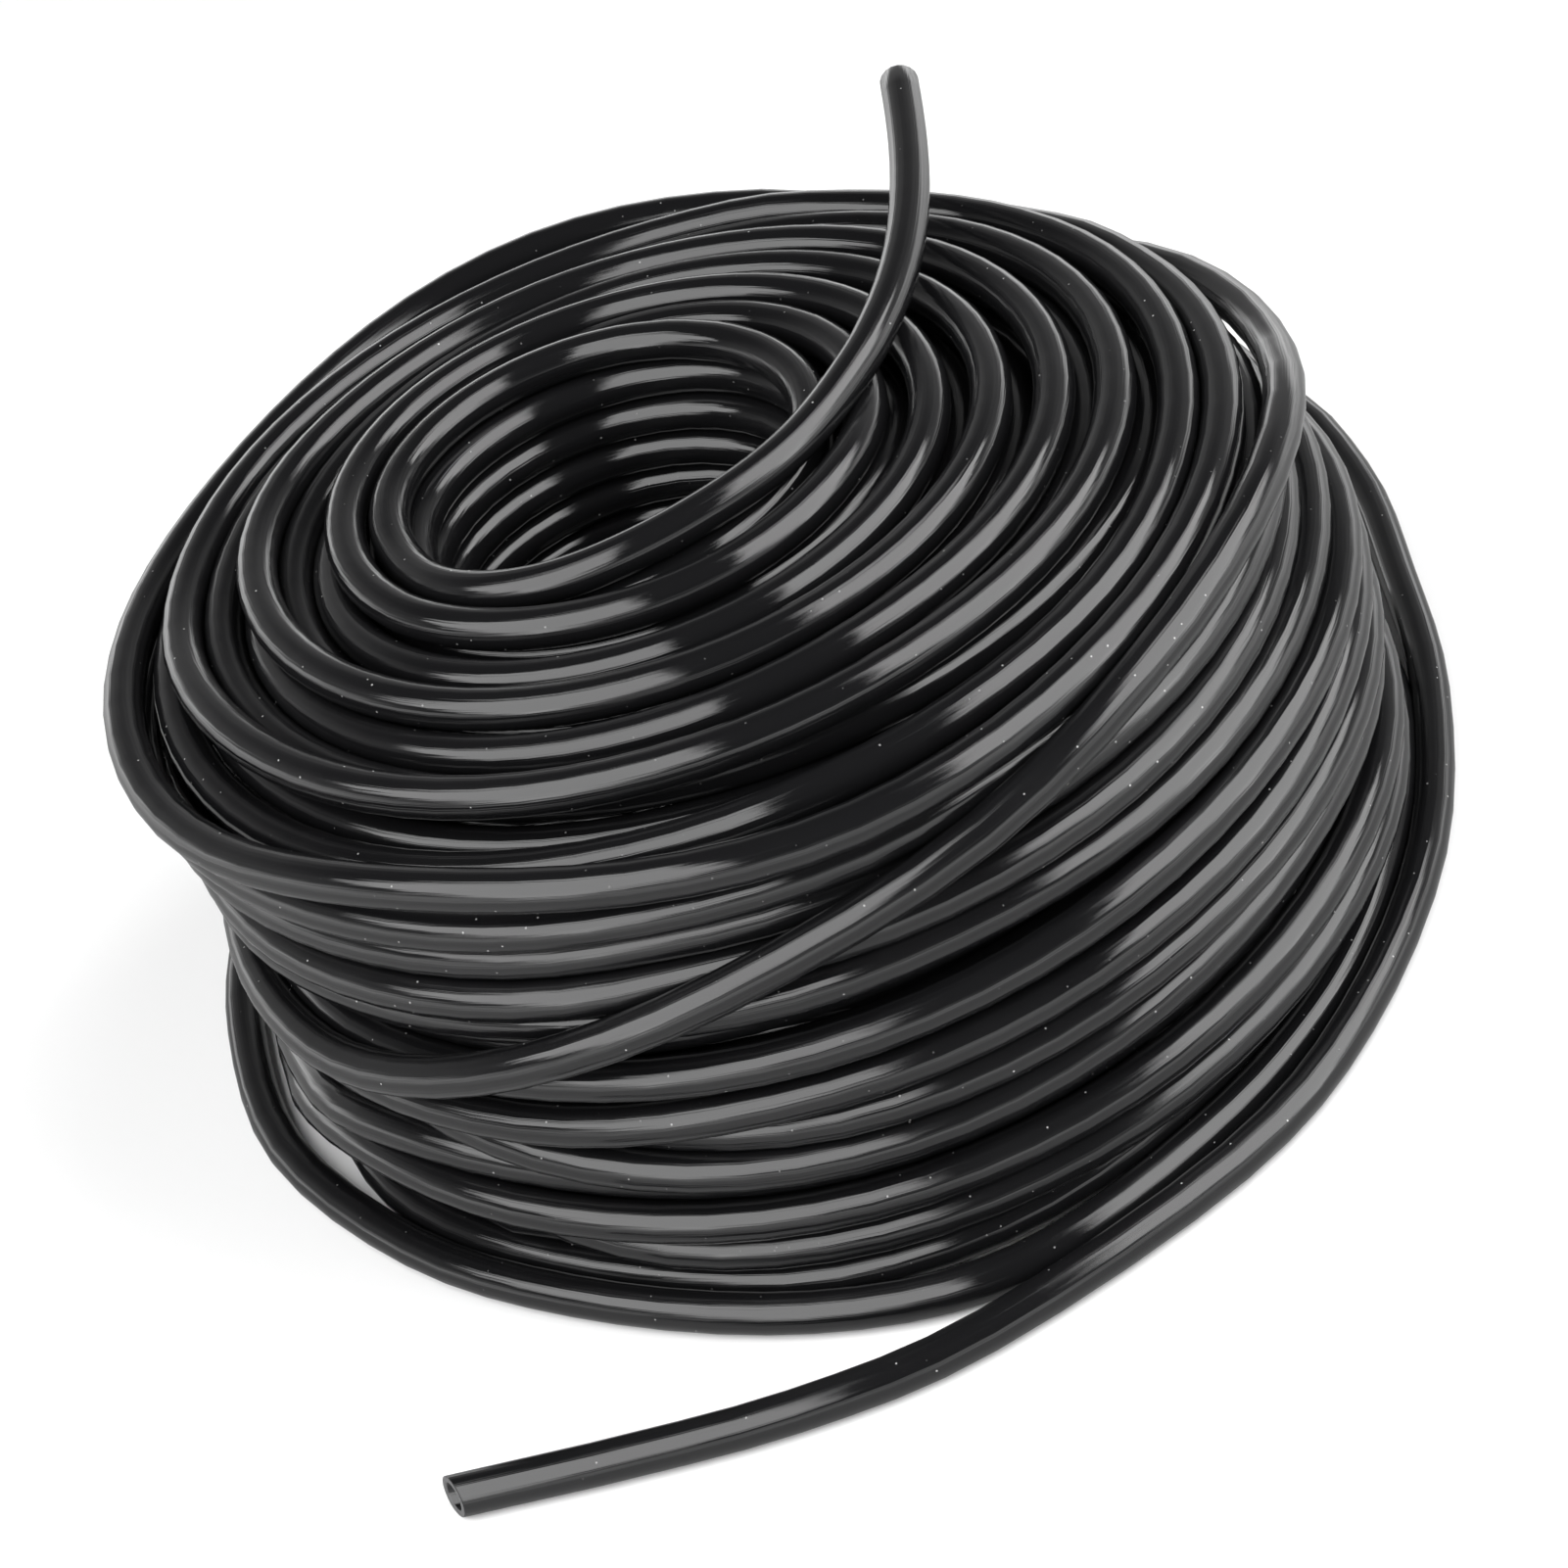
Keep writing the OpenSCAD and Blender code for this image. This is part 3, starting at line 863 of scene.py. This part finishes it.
def paleFloor():
    material, tree, shader = newMaterial("paleFloor")
    rays = node(tree, "ShaderNodeLightPath").outputs
    # the hose mirrors a darker floor than the camera sees: painted shade
    seen, mirrored = grey(studio["floorColour"]), grey(studio["mirroredFloorPaintedShade"])
    tree.links.new(mixColour(tree, rays["Is Glossy Ray"], seen, mirrored), shader.inputs["Base Color"])
    shader.inputs["Roughness"].default_value = studio["floorRoughness"]
    length = node(tree, "ShaderNodeVectorMath", operation="LENGTH")
    tree.links.new(node(tree, "ShaderNodeTexCoord").outputs["Object"], length.inputs[0])
    far = remap(tree, length.outputs["Value"], *studio["far"], 0, studio["mirroredFloorPaintedGlow"])
    sweep = remap(tree, length.outputs["Value"], *studio["sweep"], 0, 1)
    # glossy rays see the floor glow further off, as painted light; camera rays see it turn into the white
    # backdrop
    backdropAndPaintedGlow = combine(tree, "ADD", combine(tree, "MULTIPLY", rays["Is Glossy Ray"], far),
                   combine(tree, "MULTIPLY", rays["Is Camera Ray"], sweep))
    shader.inputs["Emission Color"].default_value = grey(1)
    tree.links.new(backdropAndPaintedGlow, shader.inputs["Emission Strength"])
    return material


bpy.ops.mesh.primitive_plane_add(size=studio["floorSize"], location=(0, 0, 0))
floor = bpy.context.object
floor.name = "floor"
floor.data.materials.append(paleFloor())
floor.select_set(False)


def lightRoom():
    world = bpy.data.worlds.new("studio")
    bpy.context.scene.world = world
    world.use_nodes = True
    tree = world.node_tree
    direction = node(tree, "ShaderNodeSeparateXYZ")
    tree.links.new(node(tree, "ShaderNodeTexCoord").outputs["Generated"], direction.inputs[0])
    height, depth = direction.outputs["Z"], direction.outputs["Y"]
    room = remap(tree, height, *studio["horizon"], studio["low"], studio["high"])
    behind = combine(tree, "MULTIPLY", remap(tree, depth, *studio["behindTurn"], 0, studio["behind"]),
                     remap(tree, height, *studio["behindHeight"], 1, 0))
    mirrored = combine(tree, "ADD", room, behind)
    rays = node(tree, "ShaderNodeLightPath").outputs
    seen = mixColour(tree, rays["Is Camera Ray"], mirrored, grey(studio["backdrop"]))
    tree.links.new(seen, tree.nodes["Background"].inputs["Color"])


# Large softboxes on both sides: where, which way the long side runs, metres, watts
lamps = [
    {"name": "leftBox", "at": (-0.545, -0.578, 0.7), "along": (0, 0.908, 0.419), "size": (1.35, 1.05),
     "power": 20},
    {"name": "rightBox", "at": (0.77, -0.263, 0.645), "along": (-0.304, 0.827, 0.473), "size": (1.25, 0.95),
     "power": 19},
]


def addLamp(lamp):
    data = bpy.data.lights.new(lamp["name"], "AREA")
    data.shape = "RECTANGLE"
    data.size, data.size_y = lamp["size"]
    data.energy = lamp["power"]
    light = bpy.data.objects.new(lamp["name"], data)
    bpy.context.collection.objects.link(light)
    place, along = Vector(lamp["at"]), Vector(lamp["along"]).normalized()
    away = place - Vector(studio["aim"])
    away = (away - along * away.dot(along)).normalized()
    turn = Matrix((along, away.cross(along), away)).transposed().to_4x4()
    light.matrix_world = Matrix.Translation(place) @ turn


lightRoom()
for lamp in lamps:
    addLamp(lamp)
print("studio lit")

bpy.context.scene.view_settings.view_transform = "Standard"
